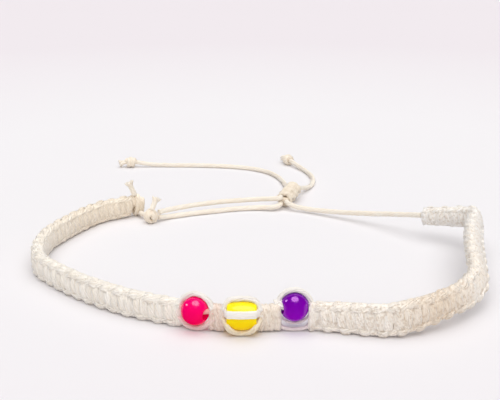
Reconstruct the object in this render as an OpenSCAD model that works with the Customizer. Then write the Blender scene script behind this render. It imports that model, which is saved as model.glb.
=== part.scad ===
// Braided cord bracelet with three drilled beads, lying open on a table.
// Millimetres, +Z up, the table at z = 0, the beads at the front (-Y).

/* [Band] */
// Thickness of the knotted band, from its outer to its inner face
band_t = 2.2; // [1.8:0.1:2.6]
// Length of one full square knot along the band
knot_pitch = 2.5; // [2.2:0.1:3.0]
// Depth of the notch between two side loops
edge_notch = 0.3; // [0:0.05:0.4]
// Depth of the groove between two cross bars, as a share of the thickness
bar_groove = 0.16; // [0:0.02:0.24]
// Squareness of the band's section, 2 is an ellipse
section_power = 3; // [2:0.5:5]

/* [Beads] */
// Diameter of a bead
bead_d = 4; // [3.8:0.05:4.1]
// Diameter of the hole through a bead
bore_d = 1.5; // [1.3:0.1:1.6]
// Length of the yellow barrel bead
barrel_l = 4.2; // [4:0.1:4.3]
// Radius of the arc along the barrel bead's side
barrel_swell = 6.4; // [5:0.1:12]
// Gap between a bead and the knots on each side of it
bead_gap = 0.15; // [0.1:0.05:0.3]

/* [Cords] */
// Diameter of the core thread that runs through the beads
thread_d = 1; // [0.8:0.1:1.1]
// Diameter of a closing cord
cord_d = 1; // [0.8:0.1:1.2]
// Thickness of a side cord where it passes a bead
side_t = 0.8; // [0.6:0.1:0.9]
// Width of the flat cord over the front of the yellow bead
front_w = 1.1; // [0.8:0.1:1.3]
// Thickness of the flat cord over the front of the yellow bead
front_t = 0.5; // [0.4:0.1:0.7]

/* [Hidden] */

cotton = [0.94, 0.91, 0.85];
cotton_shade = [0.88, 0.83, 0.74];
pink = [0.96, 0.08, 0.38];
yellow = [0.98, 0.84, 0.12];
purple = [0.42, 0.02, 0.62];

// The point of the tables below that is the middle of the loop
loop_middle = [1.7, 30.7];
// Sides of the band's section and of a round cord's
band_sides = 12;
cord_sides = 8;
// Rings in one square knot, and the distance between two rings of a cord
knot_rings = 6;
cord_step = 2.6;
// Steps of the smooth curve between two rows of a table
curve_steps = 10;
// Gap where a cord meets a knot
meet = 0.08;

// Middle of the band's section, from the back left end round the front to the back right end:
// x, y, height of the lower edge above the table, lean of the top inwards in degrees, width
band_rows = [
    [-23.0, 51.2, 0.2, 0, 4.0],
    [-28.8, 46.4, 0, 0, 4.2],
    [-33.8, 35.0, 0, 0, 4.2],
    [-34.8, 28.0, 0, 0, 4.2],
    [-33.8, 21.4, 0, 0, 4.2],
    [-31.1, 17.0, 0, 0, 4.2],
    [-24.0, 9.8, 0, 0, 4.2],
    [-16.4, 4.4, 0, 0, 4.2],
    [-7.6, 0.8, 0, 0, 4.0],
    [-1.2, -0.4, 0, 0, 3.9],
    [6.1, 0.2, 0, 0, 4.0],
    [10.5, -0.3, 0, 0, 4.35],
    [17.6, -1.9, 0, 0, 4.75],
    [21.2, -1.7, 0.3, 3, 4.85],
    [24.8, 0.0, 0.8, 5, 4.5],
    [28.1, 2.3, 1.2, 9, 4.3],
    [30.9, 5.2, 1.0, 16, 4.6],
    [33.3, 9.2, 1.4, 26, 4.6],
    [34.3, 14.5, 2.2, 34, 4.5],
    [35.5, 21.3, 2.7, 35, 4.3],
    [37.3, 28.7, 2.9, 28, 4.2],
    [38.7, 34.0, 2.9, 14, 4.2],
    [35.6, 36.8, 2.7, 4, 3.7],
    [30.8, 38.8, 2.5, 0, 3.2]];

// Beads: centre x, y, z, turn of the hole towards the front, dip of the hole, turn of the thread
bead_rows = [
    [-7.5, 0.2, 2.8, 16, 5, 13],
    [-1.1, -0.9, 2.55, 0, 0, 0],
    [6.1, 0.3, 3.35, -15, 0, -12]];

// Side cords: bead, distance outwards and upwards from its centre at the middle and at the ends,
// half length, power of the arch (a low one is a full arch with steep ends)
side_rows = [
    [0, -0.45, 2.45, -0.1, 1.7, 2.5, 0.65],
    [0, 0.3, -2.37, 0.3, -1.9, 2.05, 0.6],
    [1, -0.3, 2.5, -0.3, 1.86, 2.9, 0.5],
    [1, 1.2, -2.14, 0.5, -2.14, 2.15, 0.3],
    [2, -0.45, 2.4, -0.1, 1.38, 2.5, 0.65],
    [2, 0.4, -2.85, 0.3, -2.4, 2.05, 0.6]];
// The flat cord over the yellow bead: the same columns
front_row = [1, 2.15, 0.93, 0.95, 0.2, 3.0, 0.2];

// Routes of the closing cords: x, y, z of hand-placed points
lead_route = [[-21.0, 50.6, 1.0], [-20.25, 49.9, 0.9], [-19.5, 49.1, 1.1]];
low_route = [[-17.3, 48.2, 0.85], [-14.7, 50.1, 0.5], [-10.6, 52.0, 0.5], [-6.8, 53.4, 0.5],
    [-2.2, 54.9, 0.5], [2.0, 55.3, 0.6], [4.3, 54.8, 0.8], [5.6, 55.2, 1.0], [6.1, 56.6, 1.1]];
high_route = [[-17.2, 48.45, 1.83], [-14.9, 50.8, 1.72], [-10.4, 53.6, 1.7], [-6.2, 55.4, 1.7],
    [-2.0, 56.6, 1.7], [1.8, 57.0, 1.8], [4.3, 56.3, 2.1], [5.6, 56.0, 2.3], [6.2, 56.6, 2.4]];
right_route = [[30.5, 38.95, 4.2], [28.9, 40.5, 3.8], [26.4, 42.7, 3.2], [22.4, 46.2, 2.2],
    [18.6, 49.0, 1.5], [14.6, 51.6, 1.0], [11.2, 53.6, 0.8], [8.8, 54.7, 1.0], [7.5, 55.4, 1.4],
    [7.15, 56.25, 1.5]];
tail_left_route = [[8.5, 65.0, 2.1], [8.1, 67.4, 1.3], [7.7, 70.6, 0.6], [7.2, 74.6, 0.5],
    [6.0, 79.0, 0.5], [3.6, 83.2, 0.5], [-0.5, 86.3, 0.5], [-6.0, 88.0, 0.5],
    [-12.0, 88.8, 0.5], [-19.0, 89.1, 0.5], [-23.4, 89.1, 0.7], [-26.2, 89.0, 1.2]];
tail_right_route = [[9.7, 64.7, 2.1], [11.0, 67.2, 1.2], [12.6, 70.4, 0.55], [13.6, 74.4, 0.5],
    [13.7, 78.8, 0.5], [12.7, 83.4, 0.5], [10.8, 87.7, 0.8], [9.6, 89.9, 1.2]];

// Knots: start, end, width, height, number of lobes
end_knot_ends = [[-22.85, 51.33, 2.25], [-20.6, 52.5, 2.25]];
tie_knot_ends = [[-19.4, 48.9, 1.35], [-17.9, 46.2, 1.35]];
sliding_knot_ends = [[6.6, 56.7, 1.55], [9.1, 64.5, 2.05]];
tail_left_knot_ends = [[-26.3, 89.0, 1.25], [-29.0, 88.9, 1.25]];
tail_right_knot_ends = [[9.5, 90.1, 1.25], [8.4, 92.5, 1.25]];
stub_d = 1.1;
end_stub_ends = [[-22.25, 51.63, 4.65], [-23.1, 51.7, 6.8]];
tie_stub_ends = [[-18.3, 47.7, 2.9], [-17.6, 48.6, 4.6]];

function unit(v) = v / norm(v);
function signed_power(x, p) = sign(x) * pow(abs(x), p);
function mixed(a, b, t) = a + (b - a) * t;
function in_frame(p) = [p[0] - loop_middle[0], p[1] - loop_middle[1], p[2]];

// One point of the smooth curve through b and c, with a before and d after them
function spline(a, b, c, d, t) =
    0.5 * (2 * b + (c - a) * t + (2 * a - 5 * b + 4 * c - d) * t * t
        + (3 * b - a - 3 * c + d) * t * t * t);
function curve(rows) = let (n = len(rows)) concat(
    [for (i = [0:n - 2], k = [0:curve_steps - 1])
        spline(i == 0 ? 2 * rows[0] - rows[1] : rows[i - 1], rows[i], rows[i + 1],
            i == n - 2 ? 2 * rows[n - 1] - rows[n - 2] : rows[i + 2], k / curve_steps)],
    [rows[n - 1]]);
// Length along a curve up to each of its points; dims says how many columns are coordinates
function part_of(v, dims) = [for (i = [0:dims - 1]) v[i]];
function lengths(pts, dims) =
    [for (i = 0, s = 0; i < len(pts);
        i = i + 1, s = s + (i < len(pts) ? norm(part_of(pts[i] - pts[i - 1], dims)) : 0)) s];
function between(pts, f) = let (i = min(max(floor(f), 0), len(pts) - 2))
    mixed(pts[i], pts[i + 1], f - i);

// Triangles that join a row of rings into a closed skin
module skin(rings) {
    n = len(rings[0]);
    m = len(rings);
    polyhedron(
        points = [for (ring = rings) each ring],
        faces = concat(
            [[for (i = [0:n - 1]) i]],
            [for (k = [0:m - 2], i = [0:n - 1])
                [k * n + i, (k + 1) * n + i, k * n + (i + 1) % n]],
            [for (k = [0:m - 2], i = [0:n - 1])
                [k * n + (i + 1) % n, (k + 1) * n + i, (k + 1) * n + (i + 1) % n]],
            [[for (i = [n - 1:-1:0]) (m - 1) * n + i]]),
        convexity = 8);
}

// The band's middle line and its length in plan
band_line = curve(band_rows);
band_lengths = lengths(band_line, 2);
band_table = [for (i = [0:len(band_line) - 1]) [band_lengths[i], i]];
band_l = band_lengths[len(band_lengths) - 1];
front_table = [for (i = [7 * curve_steps:12 * curve_steps]) [band_line[i][0], band_lengths[i]]];
bead_at = [for (bead = bead_rows) let (s = lookup(bead[0], front_table))
    s + (bead[1] - band_row(s)[1]) * band_way(s)[1]];
bead_clear = bead_d / 2 + bead_gap;
barrel_clear = barrel_l / 2 + bead_gap;

function band_row(s) = between(band_line, lookup(s, band_table));
function band_way(s) = let (a = band_row(max(s - 0.2, 0)), b = band_row(min(s + 0.2, band_l)))
    unit([b[0] - a[0], b[1] - a[1], 0]);
// Height of a side loop at s: 0 in the notch between two loops, 1 along the loop
function loop_height(s, pitch) = min(1, 1.2 * abs(sin(180 * s / pitch)));
function band_ring(s) =
    let (row = band_row(s), way = band_way(s), lean = row[3],
        out = [way[1], -way[0], 0],
        up = cos(lean) * [0, 0, 1] - sin(lean) * out,
        face = cos(lean) * out + sin(lean) * [0, 0, 1],
        middle = in_frame([row[0], row[1],
            row[4] / 2 * cos(lean) + band_t / 2 * abs(sin(lean)) + max(row[2], 0)]),
        top = row[4] / 2 - edge_notch * (1 - loop_height(s, knot_pitch)),
        low = row[4] / 2 - edge_notch * (1 - loop_height(s + knot_pitch / 2, knot_pitch)),
        deep = band_t / 2 * (1 - bar_groove * (1 - loop_height(s, knot_pitch / 2))),
        full = signed_power(cos(180 / band_sides), 2 / section_power))
    [for (i = [0:band_sides - 1]) let (a = 360 * (i + 0.5) / band_sides,
            high = signed_power(sin(a), 2 / section_power) / full)
        middle + face * deep * signed_power(cos(a), 2 / section_power) / full
            + up * high * (high > 0 ? top : low)];

// A stretch of knotted band from s = a to s = b
module knotted(a, b) {
    step = knot_pitch / knot_rings;
    n = floor((b - a) / step - 0.2);
    skin([for (k = [0:n + 1]) band_ring(k > n ? b : a + k * step)]);
}

// A round cord along a route of points
module cord(route, d) {
    line = curve([for (p = route) in_frame(p)]);
    along = lengths(line, 3);
    total = along[len(along) - 1];
    table = [for (i = [0:len(line) - 1]) [along[i], i]];
    n = max(ceil(total / cord_step), 3);
    skin([for (k = [0:n])
        let (s = total * k / n, p = between(line, lookup(s, table)),
            way = unit(between(line, lookup(min(s + 0.2, total), table))
                - between(line, lookup(max(s - 0.2, 0), table))),
            side = unit(cross(way, [0, 0, 1])), up = cross(side, way))
        [for (i = [0:cord_sides - 1]) let (a = 360 * (i + 0.5) / cord_sides)
            p + d / 2 * (side * cos(a) + up * sin(a))]]);
}

// A cord past a bead: an arch from end to end whose section is t thick and w wide
module arch(row, t, w) {
    centre = in_frame(part_of(bead_rows[row[0]], 3));
    way = band_way(bead_at[row[0]]);
    out = [way[1], -way[0], 0];
    rings = 10;
    skin([for (k = [0:rings])
        let (f = 2 * k / rings - 1, rise = pow(cos(90 * f), row[6]),
            offset = [mixed(row[3], row[1], rise), mixed(row[4], row[2], rise)],
            thick = unit(offset[0] * out + [0, 0, offset[1]]), wide = cross(way, thick),
            p = centre + way * f * row[5] + offset[0] * out + [0, 0, offset[1]])
        [for (i = [0:cord_sides - 1]) let (a = 360 * (i + 0.5) / cord_sides)
            p - wide * w / 2 * cos(a) + thick * t / 2 * sin(a)]]);
}

// A pulled-tight knot between two points: a lumpy bulge of the given width, height and lobes
module knot(ends, w, h, lobes) {
    a = in_frame(ends[0]);
    b = in_frame(ends[1]);
    way = unit(b - a);
    side = unit(cross(way, [0, 0, 1]));
    up = cross(side, way);
    rings = 4 * lobes;
    skin([for (k = [0:rings])
        let (f = k / rings, lobe = 0.84 + 0.16 * abs(sin(180 * lobes * f)),
            dome = 0.6 + 0.4 * min(1, 3 * sin(180 * f)), size = lobe * dome)
        [for (i = [0:band_sides - 1]) let (t = 360 * (i + 0.5) / band_sides)
            mixed(a, b, f) + size * (side * w / 2 * cos(t) + up * h / 2 * sin(t))]]);
}

module rod(ends, d) {
    a = in_frame(ends[0]);
    way = in_frame(ends[1]) - a;
    translate(a) rotate([0, acos(way[2] / norm(way)), atan2(way[1], way[0])])
        cylinder(h = norm(way), d = d, $fn = 24);
}

// A line through a bead's centre, turned towards the front and dipped
module through_bead(i, turn, dip, l, d) {
    way = band_way(bead_at[i]);
    translate(in_frame(part_of(bead_rows[i], 3)))
        rotate([0, 90 + dip, atan2(way[1], way[0]) - turn])
            cylinder(h = l, d = d, center = true, $fn = 32);
}

module bead(i) {
    difference() {
        translate(in_frame(part_of(bead_rows[i], 3))) rotate([0, 0, 90]) sphere(d = bead_d, $fn = 64);
        through_bead(i, bead_rows[i][3], bead_rows[i][4], 2 * bead_d, bore_d);
    }
}

// The barrel bead: a shallow arc turned round the axis, with flat ends
module barrel_bead(i) {
    way = band_way(bead_at[i]);
    difference() {
        translate(in_frame(part_of(bead_rows[i], 3)))
            rotate([0, 90, atan2(way[1], way[0])])
                rotate_extrude($fn = 64)
                    intersection() {
                        translate([bead_d / 2 - barrel_swell, 0]) circle(r = barrel_swell, $fn = 128);
                        translate([0, -barrel_l / 2]) square([bead_d, barrel_l]);
                    }
        through_bead(i, bead_rows[i][3], bead_rows[i][4], 2 * bead_d, bore_d);
    }
}

// The thread reaches from the knots on one side of the bead to the knots on the other
module thread(i, clear) {
    turn = bead_rows[i][5];
    reach = (clear - meet) / cos(turn) - thread_d / 2 * abs(tan(turn));
    through_bead(i, turn, 0, 2 * reach, thread_d);
}

module band_left() color(cotton) knotted(0, bead_at[0] - bead_clear);
module knots_pink_yellow() color(cotton)
    knotted(bead_at[0] + bead_clear, bead_at[1] - barrel_clear);
module knots_yellow_purple() color(cotton)
    knotted(bead_at[1] + barrel_clear, bead_at[2] - bead_clear);
module band_right() color(cotton) knotted(bead_at[2] + bead_clear, band_l);

module bead_pink() color(pink) bead(0);
module bead_yellow() color(yellow) barrel_bead(1);
module bead_purple() color(purple) bead(2);

module thread_pink() color(cotton_shade) thread(0, bead_clear);
module thread_yellow() color(cotton_shade) thread(1, barrel_clear);
module thread_purple() color(cotton_shade) thread(2, bead_clear);

module side_cord_pink_top() color(cotton) arch(side_rows[0], side_t, side_t);
module side_cord_pink_low() color(cotton) arch(side_rows[1], side_t, side_t);
module side_cord_yellow_top() color(cotton) arch(side_rows[2], side_t, side_t);
module side_cord_yellow_low() color(cotton) arch(side_rows[3], side_t, side_t);
module side_cord_purple_top() color(cotton) arch(side_rows[4], side_t, side_t);
module side_cord_purple_low() color(cotton) arch(side_rows[5], side_t, side_t);
module front_cord_yellow() color(cotton) arch(front_row, front_t, front_w);

module end_knot() color(cotton_shade) knot(end_knot_ends, 3, 4.4, 2);
module end_stub() color(cotton_shade) rod(end_stub_ends, stub_d);
module lead_cord() color(cotton) cord(lead_route, cord_d);
module tie_knot() color(cotton_shade) knot(tie_knot_ends, 2.8, 2.7, 2);
module tie_stub() color(cotton_shade) rod(tie_stub_ends, stub_d);
module loop_cord_low() color(cotton) cord(low_route, cord_d);
module loop_cord_high() color(cotton) cord(high_route, cord_d);
module loop_cord_right() color(cotton) cord(right_route, cord_d);
module sliding_knot() color(cotton_shade) knot(sliding_knot_ends, 3.4, 3.2, 6);
module tail_cord_left() color(cotton) cord(tail_left_route, cord_d);
module tail_knot_left() color(cotton_shade) knot(tail_left_knot_ends, 2.6, 2.5, 2);
module tail_cord_right() color(cotton) cord(tail_right_route, cord_d);
module tail_knot_right() color(cotton_shade) knot(tail_right_knot_ends, 2.6, 2.5, 2);

band_left();
knots_pink_yellow();
knots_yellow_purple();
band_right();
bead_pink();
bead_yellow();
bead_purple();
thread_pink();
thread_yellow();
thread_purple();
side_cord_pink_top();
side_cord_pink_low();
side_cord_yellow_top();
side_cord_yellow_low();
side_cord_purple_top();
side_cord_purple_low();
front_cord_yellow();
end_knot();
end_stub();
lead_cord();
tie_knot();
tie_stub();
loop_cord_low();
loop_cord_high();
loop_cord_right();
sliding_knot();
tail_cord_left();
tail_knot_left();
tail_cord_right();
tail_knot_right();
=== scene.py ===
import math

import bpy
import numpy as np
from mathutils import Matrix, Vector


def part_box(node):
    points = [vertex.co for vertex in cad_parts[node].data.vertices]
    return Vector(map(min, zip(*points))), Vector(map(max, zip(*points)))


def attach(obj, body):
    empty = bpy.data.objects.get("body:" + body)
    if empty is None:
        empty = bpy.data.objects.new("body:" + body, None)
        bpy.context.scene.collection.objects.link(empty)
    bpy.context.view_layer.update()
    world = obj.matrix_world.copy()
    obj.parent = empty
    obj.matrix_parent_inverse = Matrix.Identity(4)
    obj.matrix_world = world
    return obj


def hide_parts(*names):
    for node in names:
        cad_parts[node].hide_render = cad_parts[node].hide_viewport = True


# Square-knotted cord bracelet with three beads, lying open on a pale surface.
# The tables here are in millimetres; everything that Blender gets is in metres.
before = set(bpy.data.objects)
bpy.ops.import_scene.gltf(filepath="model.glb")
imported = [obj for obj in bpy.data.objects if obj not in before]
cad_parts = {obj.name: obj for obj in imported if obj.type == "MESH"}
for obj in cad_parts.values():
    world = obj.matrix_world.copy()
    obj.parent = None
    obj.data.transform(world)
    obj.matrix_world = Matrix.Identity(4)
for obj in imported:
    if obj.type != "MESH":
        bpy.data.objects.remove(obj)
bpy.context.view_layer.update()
mm = 0.001
loopMiddle = np.array([1.7, 30.7, 0.0])  # the point of the tables that is the frame's origin
luck = np.random.default_rng(11)

cameraSettings = {
    "place": (-1.7, -144.45, 52.85),
    "tiltDown": 16.7,  # degrees below the horizon
    "lens": 64.8,
    "sensor": 36.0,
}


def makeCamera(settings):
    data = bpy.data.cameras.new("camera")
    data.lens = settings["lens"]
    data.sensor_width = settings["sensor"]
    data.clip_start = 0.01
    camera = bpy.data.objects.new("camera", data)
    camera.location = [x * mm for x in settings["place"]]
    camera.rotation_euler = (math.radians(90 - settings["tiltDown"]), 0, 0)
    bpy.context.scene.collection.objects.link(camera)
    bpy.context.scene.camera = camera


makeCamera(cameraSettings)
print("camera made")


def linearColour(code):
    # An sRGB hex value as linear light: a straight foot, then a power of 2.4
    parts = [int(code[i:i + 2], 16) / 255 for i in (1, 3, 5)]
    return [x / 12.92 if x <= 0.04045 else ((x + 0.055) / 1.055) ** 2.4 for x in parts] + [1.0]


def addNode(tree, kind, settings, links=()):
    # A name that is a socket's sets the socket, any other sets the node itself
    node = tree.nodes.new("ShaderNode" + kind)
    for name, value in settings.items():
        if isinstance(name, int) or name in node.inputs:
            node.inputs[name].default_value = value
        else:
            setattr(node, name, value)
    for socket, source in links:
        tree.links.new(source, node.inputs[socket])
    return node


def newMaterial(name):
    material = bpy.data.materials.new(name)
    material.use_nodes = True
    tree = material.node_tree
    tree.nodes.clear()
    return material, tree


flossLook = {
    "fibresRound": 5.0,  # coarser than the real filaments of 0.02 mm, which would not show
    "fibreLength": 1.6,
    "patches": (0.37, 0.16),  # pale and dark patches, per strand across and per mm along
    "bumpDepth": 0.02,
    # painted shade specks among the strands: their size in mm and their colour
    "speckleGrain": 0.45,
    "speckleShade": "#BFA98C",
}


def satinFloss(name, light, dark, paintedShade=None, flecks=0.0, darkSpot=None):
    # Soft twisted floss, bleached to ivory: fine fibres along each strand and a faint silky sheen. Three
    # darkenings may be multiplied in. The first is painted shade: its colour and the two places in y between
    # which it grows. The second is painted shade too: dark specks among the glints of the strands, as strong
    # as
    # flecks. The third is a darker spot: its colour, middle and reach
    material, tree = newMaterial(name)
    place = addNode(tree, "UVMap", {"uv_map": "strandMap"})
    grain = addNode(tree, "Mapping",
        {"Scale": (flossLook["fibresRound"], 1 / flossLook["fibreLength"], 1)},
        [("Vector", place.outputs["UV"])])
    fibres = addNode(tree, "TexNoise", {"noise_dimensions": "2D", "Scale": 1.0, "Detail": 3.0},
        [("Vector", grain.outputs["Vector"])])
    patch = addNode(tree, "Mapping", {"Scale": (*flossLook["patches"], 1)},
        [("Vector", place.outputs["UV"])])
    tone = addNode(tree, "TexNoise", {"noise_dimensions": "2D", "Scale": 1.0, "Detail": 2.0},
        [("Vector", patch.outputs["Vector"])])
    both = addNode(tree, "Math", {"operation": "MULTIPLY"},
        [(0, fibres.outputs["Fac"]), (1, tone.outputs["Fac"])])
    spread = addNode(tree, "MapRange", {"From Min": 0.12, "From Max": 0.38},
        [("Value", both.outputs["Value"])])
    colour = addNode(tree, "Mix",
        {"data_type": "RGBA", 6: linearColour(dark), 7: linearColour(light)},
        [(0, spread.outputs["Result"])])
    spot = addNode(tree, "TexCoord", {})
    darkenings = []  # a colour to multiply in, and the socket that gives its share
    # painted shade: the colour darkens and warms between two places in y
    if paintedShade:
        shadeColour, noShadeAt, fullShadeAt = paintedShade
        depth = addNode(tree, "SeparateXYZ", {}, [(0, spot.outputs["Object"])])
        share = addNode(tree, "MapRange", {"From Min": noShadeAt * mm, "From Max": fullShadeAt * mm},
            [("Value", depth.outputs["Y"])])
        darkenings.append((shadeColour, share.outputs["Result"]))
    # painted shade: dark specks that stand in for the shade between the glints of the strands
    if flecks:
        speckle = addNode(tree, "TexNoise",
            {"Scale": 1 / (flossLook["speckleGrain"] * mm), "Detail": 2.0},
            [("Vector", spot.outputs["Object"])])
        share = addNode(tree, "MapRange", {"From Min": 0.5, "From Max": 0.66, "To Max": flecks},
            [("Value", speckle.outputs["Fac"])])
        darkenings.append((flossLook["speckleShade"], share.outputs["Result"]))
    # a darker spot round a given middle
    if darkSpot:
        darkSpotColour, middle, reach = darkSpot
        away = addNode(tree, "VectorMath",
            {"operation": "DISTANCE", 1: tuple(v * mm for v in middle)},
            [(0, spot.outputs["Object"])])
        share = addNode(tree, "MapRange", {"From Min": reach * mm, "From Max": reach * mm / 3},
            [("Value", away.outputs["Value"])])
        darkenings.append((darkSpotColour, share.outputs["Result"]))
    for darkening, share in darkenings:
        colour = addNode(tree, "Mix",
            {"data_type": "RGBA", "blend_type": "MULTIPLY", 7: linearColour(darkening)},
            [(0, share), (6, colour.outputs[2])])
    bump = addNode(tree, "Bump", {"Strength": 0.6, "Distance": flossLook["bumpDepth"] * mm},
        [("Height", fibres.outputs["Fac"])])
    shader = addNode(tree, "BsdfPrincipled",
        {"Roughness": 0.45, "Specular IOR Level": 0.4, "Sheen Weight": 0.6, "Sheen Roughness": 0.4},
        [("Base Color", colour.outputs[2]), ("Normal", bump.outputs["Normal"])])
    addNode(tree, "OutputMaterial", {}, [("Surface", shader.outputs["BSDF"])])
    return material


acrylicLook = {
    "turn": (-1.6, 1.8),  # heights from a bead's middle where the lower colour ends and the upper begins
    "cloudsPerMm": 0.5,
    "cloudShare": 0.3,
    "scuffsPerMm": 3.0,
    "roughness": (0.06, 0.2),  # between the scuffs and on them
    "rippleDepth": 0.01,
    "lightReach": 0.6,  # how far light goes inside
    # a painted glow, given off as emission though the bead is no lamp
    "paintedGlow": 0.07,
}


def neonAcrylic(name, upper, lower, middleHeight, depth, gloss, mirrorTint):
    # Cast fluorescent acrylic: polished, and its dye tints its highlights. It gives a faint painted glow,
    # and its
    # colour is painted light: warmer towards the foot, where light from above gathers low in the plastic
    material, tree = newMaterial(name)
    place = addNode(tree, "TexCoord", {})
    height = addNode(tree, "SeparateXYZ", {}, [(0, place.outputs["Object"])])
    # painted light: the lower, warmer colour towards the foot and the upper one towards the top
    low, high = ((middleHeight + shift) * mm for shift in acrylicLook["turn"])
    rise = addNode(tree, "MapRange", {"From Min": low, "From Max": high},
        [("Value", height.outputs["Z"])])
    cloud = addNode(tree, "TexNoise", {"Scale": acrylicLook["cloudsPerMm"] / mm, "Detail": 1.0},
        [("Vector", place.outputs["Object"])])
    drift = addNode(tree, "Math",
        {"operation": "MULTIPLY_ADD", 1: acrylicLook["cloudShare"], 2: -acrylicLook["cloudShare"] / 2},
        [(0, cloud.outputs["Fac"])])
    share = addNode(tree, "Math", {"operation": "ADD", "use_clamp": True},
        [(0, rise.outputs["Result"]), (1, drift.outputs["Value"])])
    colour = addNode(tree, "Mix",
        {"data_type": "RGBA", 6: linearColour(lower), 7: linearColour(upper)},
        [(0, share.outputs["Value"])])
    scuff = addNode(tree, "TexNoise", {"Scale": acrylicLook["scuffsPerMm"] / mm, "Detail": 3.0},
        [("Vector", place.outputs["Object"])])
    smooth, scuffed = acrylicLook["roughness"]
    rough = addNode(tree, "MapRange", {"To Min": smooth, "To Max": scuffed},
        [("Value", scuff.outputs["Fac"])])
    ripple = addNode(tree, "Bump",
        {"Strength": 0.15, "Distance": acrylicLook["rippleDepth"] * mm},
        [("Height", scuff.outputs["Fac"])])
    shader = addNode(tree, "BsdfPrincipled",
        {"IOR": 1.49, "Specular IOR Level": gloss, "Specular Tint": linearColour(mirrorTint),
            "Subsurface Weight": depth, "Subsurface Scale": acrylicLook["lightReach"] * mm,
            "Subsurface Radius": (1.0, 0.6, 0.8), "Emission Strength": acrylicLook["paintedGlow"]},
        [("Base Color", colour.outputs[2]), ("Emission Color", colour.outputs[2]),
            ("Roughness", rough.outputs["Result"]), ("Normal", ripple.outputs["Normal"])])
    addNode(tree, "OutputMaterial", {}, [("Surface", shader.outputs["BSDF"])])
    return material


# the ivory floss: painted shade towards the back of the loop
flossMaterial = satinFloss("ivory_satin_floss", "#FFFBF4", "#F4ECDF", paintedShade=("#FDF7EE", -8, 12))
# the right band's floss: painted shade towards its front, painted dark specks and a darker spot
rightBandMaterial = satinFloss("right_band_ivory_floss", "#FFFDFA", "#F9F3EA", paintedShade=("#FFFCF8", -4, -20),
    flecks=0.36, darkSpot=("#F5EDE3", (23, -29, 2.5), 8))
# painted pink light from the bead and painted shade, on the knots beside the pink bead
pinkLitKnotMaterial = satinFloss("pink_lit_shaded_floss", "#FBEEE4", "#ECD6C8", flecks=0.3)  # beside the pink bead
# the ivory cord: painted shade towards the back of the loop
cordMaterial = satinFloss("ivory_satin_cord", "#FFFEFA", "#FBF5EC", paintedShade=("#FDF8F0", -8, 12))
shadedMaterial = satinFloss("shaded_ivory_floss", "#FAF0E4", "#EFE2D2", flecks=0.3)
# painted shade: the cords round the tops of the beads, greyer than the rest
sideShadeMaterial = satinFloss("shaded_side_ivory_cord", "#F8F5F0", "#EFEAE3")
# painted light and shade: the cord under each bead takes the bead's colour as lit through it, and is darker
# in its shade
underMaterials = {
    "pink": satinFloss("pink_lit_cord", "#F7E2DD", "#EDD1CC"),
    "yellow": satinFloss("yellow_lit_cord", "#F7EDD8", "#ECDDC0"),
    "purple": satinFloss("mauve_lit_cord", "#F2E8E5", "#E6D8D6"),
}
# painted pink light and shade: the thread inside the pink bead, lit pink through the bead and shaded in its
# hole
pinkLitThreadMaterial = satinFloss("rose_lit_floss", "#FFC9C2", "#F2A9A4")  # the thread inside the pink bead
pinkMaterial = neonAcrylic("neon_pink_acrylic", "#F80070", "#FF0058", middleHeight=2.8, depth=0.3,
    gloss=0.65, mirrorTint="#FFDCF4")
yellowMaterial = neonAcrylic("neon_yellow_acrylic", "#FCE81E", "#FFD60C", middleHeight=2.55, depth=0.4,
    gloss=0.29, mirrorTint="#FFFFFF")
purpleMaterial = neonAcrylic("purple_acrylic", "#7200A0", "#9808C4", middleHeight=3.35, depth=0.3,
    gloss=1.1, mirrorTint="#FFB0FF")
print("materials made")


def unit(v):
    return v / np.maximum(np.linalg.norm(v, axis=-1, keepdims=True), 1e-9)


def smoothLine(rows, steps):
    # Through every row: each stretch is the cubic whose slope at a row is half the way between the rows
    # beside it
    rows = np.asarray(rows, float)
    padded = np.vstack([2 * rows[0] - rows[1], rows, 2 * rows[-1] - rows[-2]])
    a, b, c, d = (padded[i:len(rows) - 1 + i, None] for i in range(4))
    t = (np.arange(steps) / steps)[None, :, None]
    line = 0.5 * (2 * b + (c - a) * t + (2 * a - 5 * b + 4 * c - d) * t ** 2
        + (3 * b - a - 3 * c + d) * t ** 3)
    return np.vstack([line.reshape(-1, rows.shape[1]), rows[-1]])


def lengthAlong(line):
    steps = np.linalg.norm(np.diff(line, axis=0), axis=1)
    return np.concatenate([[0], np.cumsum(steps)])


def evenLine(line, step):
    # The same line with points a fixed length apart
    along = lengthAlong(line)
    at = np.linspace(0, along[-1], max(int(math.ceil(along[-1] / step)), 3) + 1)
    return np.stack([np.interp(at, along, line[:, k]) for k in range(line.shape[1])], axis=1)


def softStep(x, low, high):
    # 0 below low, 1 above high, and 3t^2 - 2t^3 between them
    t = np.clip((x - low) / (high - low), 0, 1)
    return t * t * (3 - 2 * t)


def wander(along, count, wave):
    # Smooth noise of about -1 to 1 for each of count rows: the sum of three sines of random length and phase
    waves = wave * luck.uniform(0.6, 1.9, (3, count, 1))
    starts = luck.uniform(0, 2 * np.pi, (3, count, 1))
    return np.sin(2 * np.pi * along / waves + starts).sum(0) / 1.8


spinning = {
    # the waves are the lengths in mm over which a strand strays and comes back
    "strayWave": 3.0,
    "loose": 0.07,  # how far a strand stands off or sinks in, as a share of its distance from the middle
    "looseWave": 2.4,
    "uneven": 0.08,  # how much its own radius swells and shrinks, as a share
    "unevenWave": 1.7,
    "frayOut": 1.2,  # how far the strands open at a cut end, as a share
}


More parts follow.
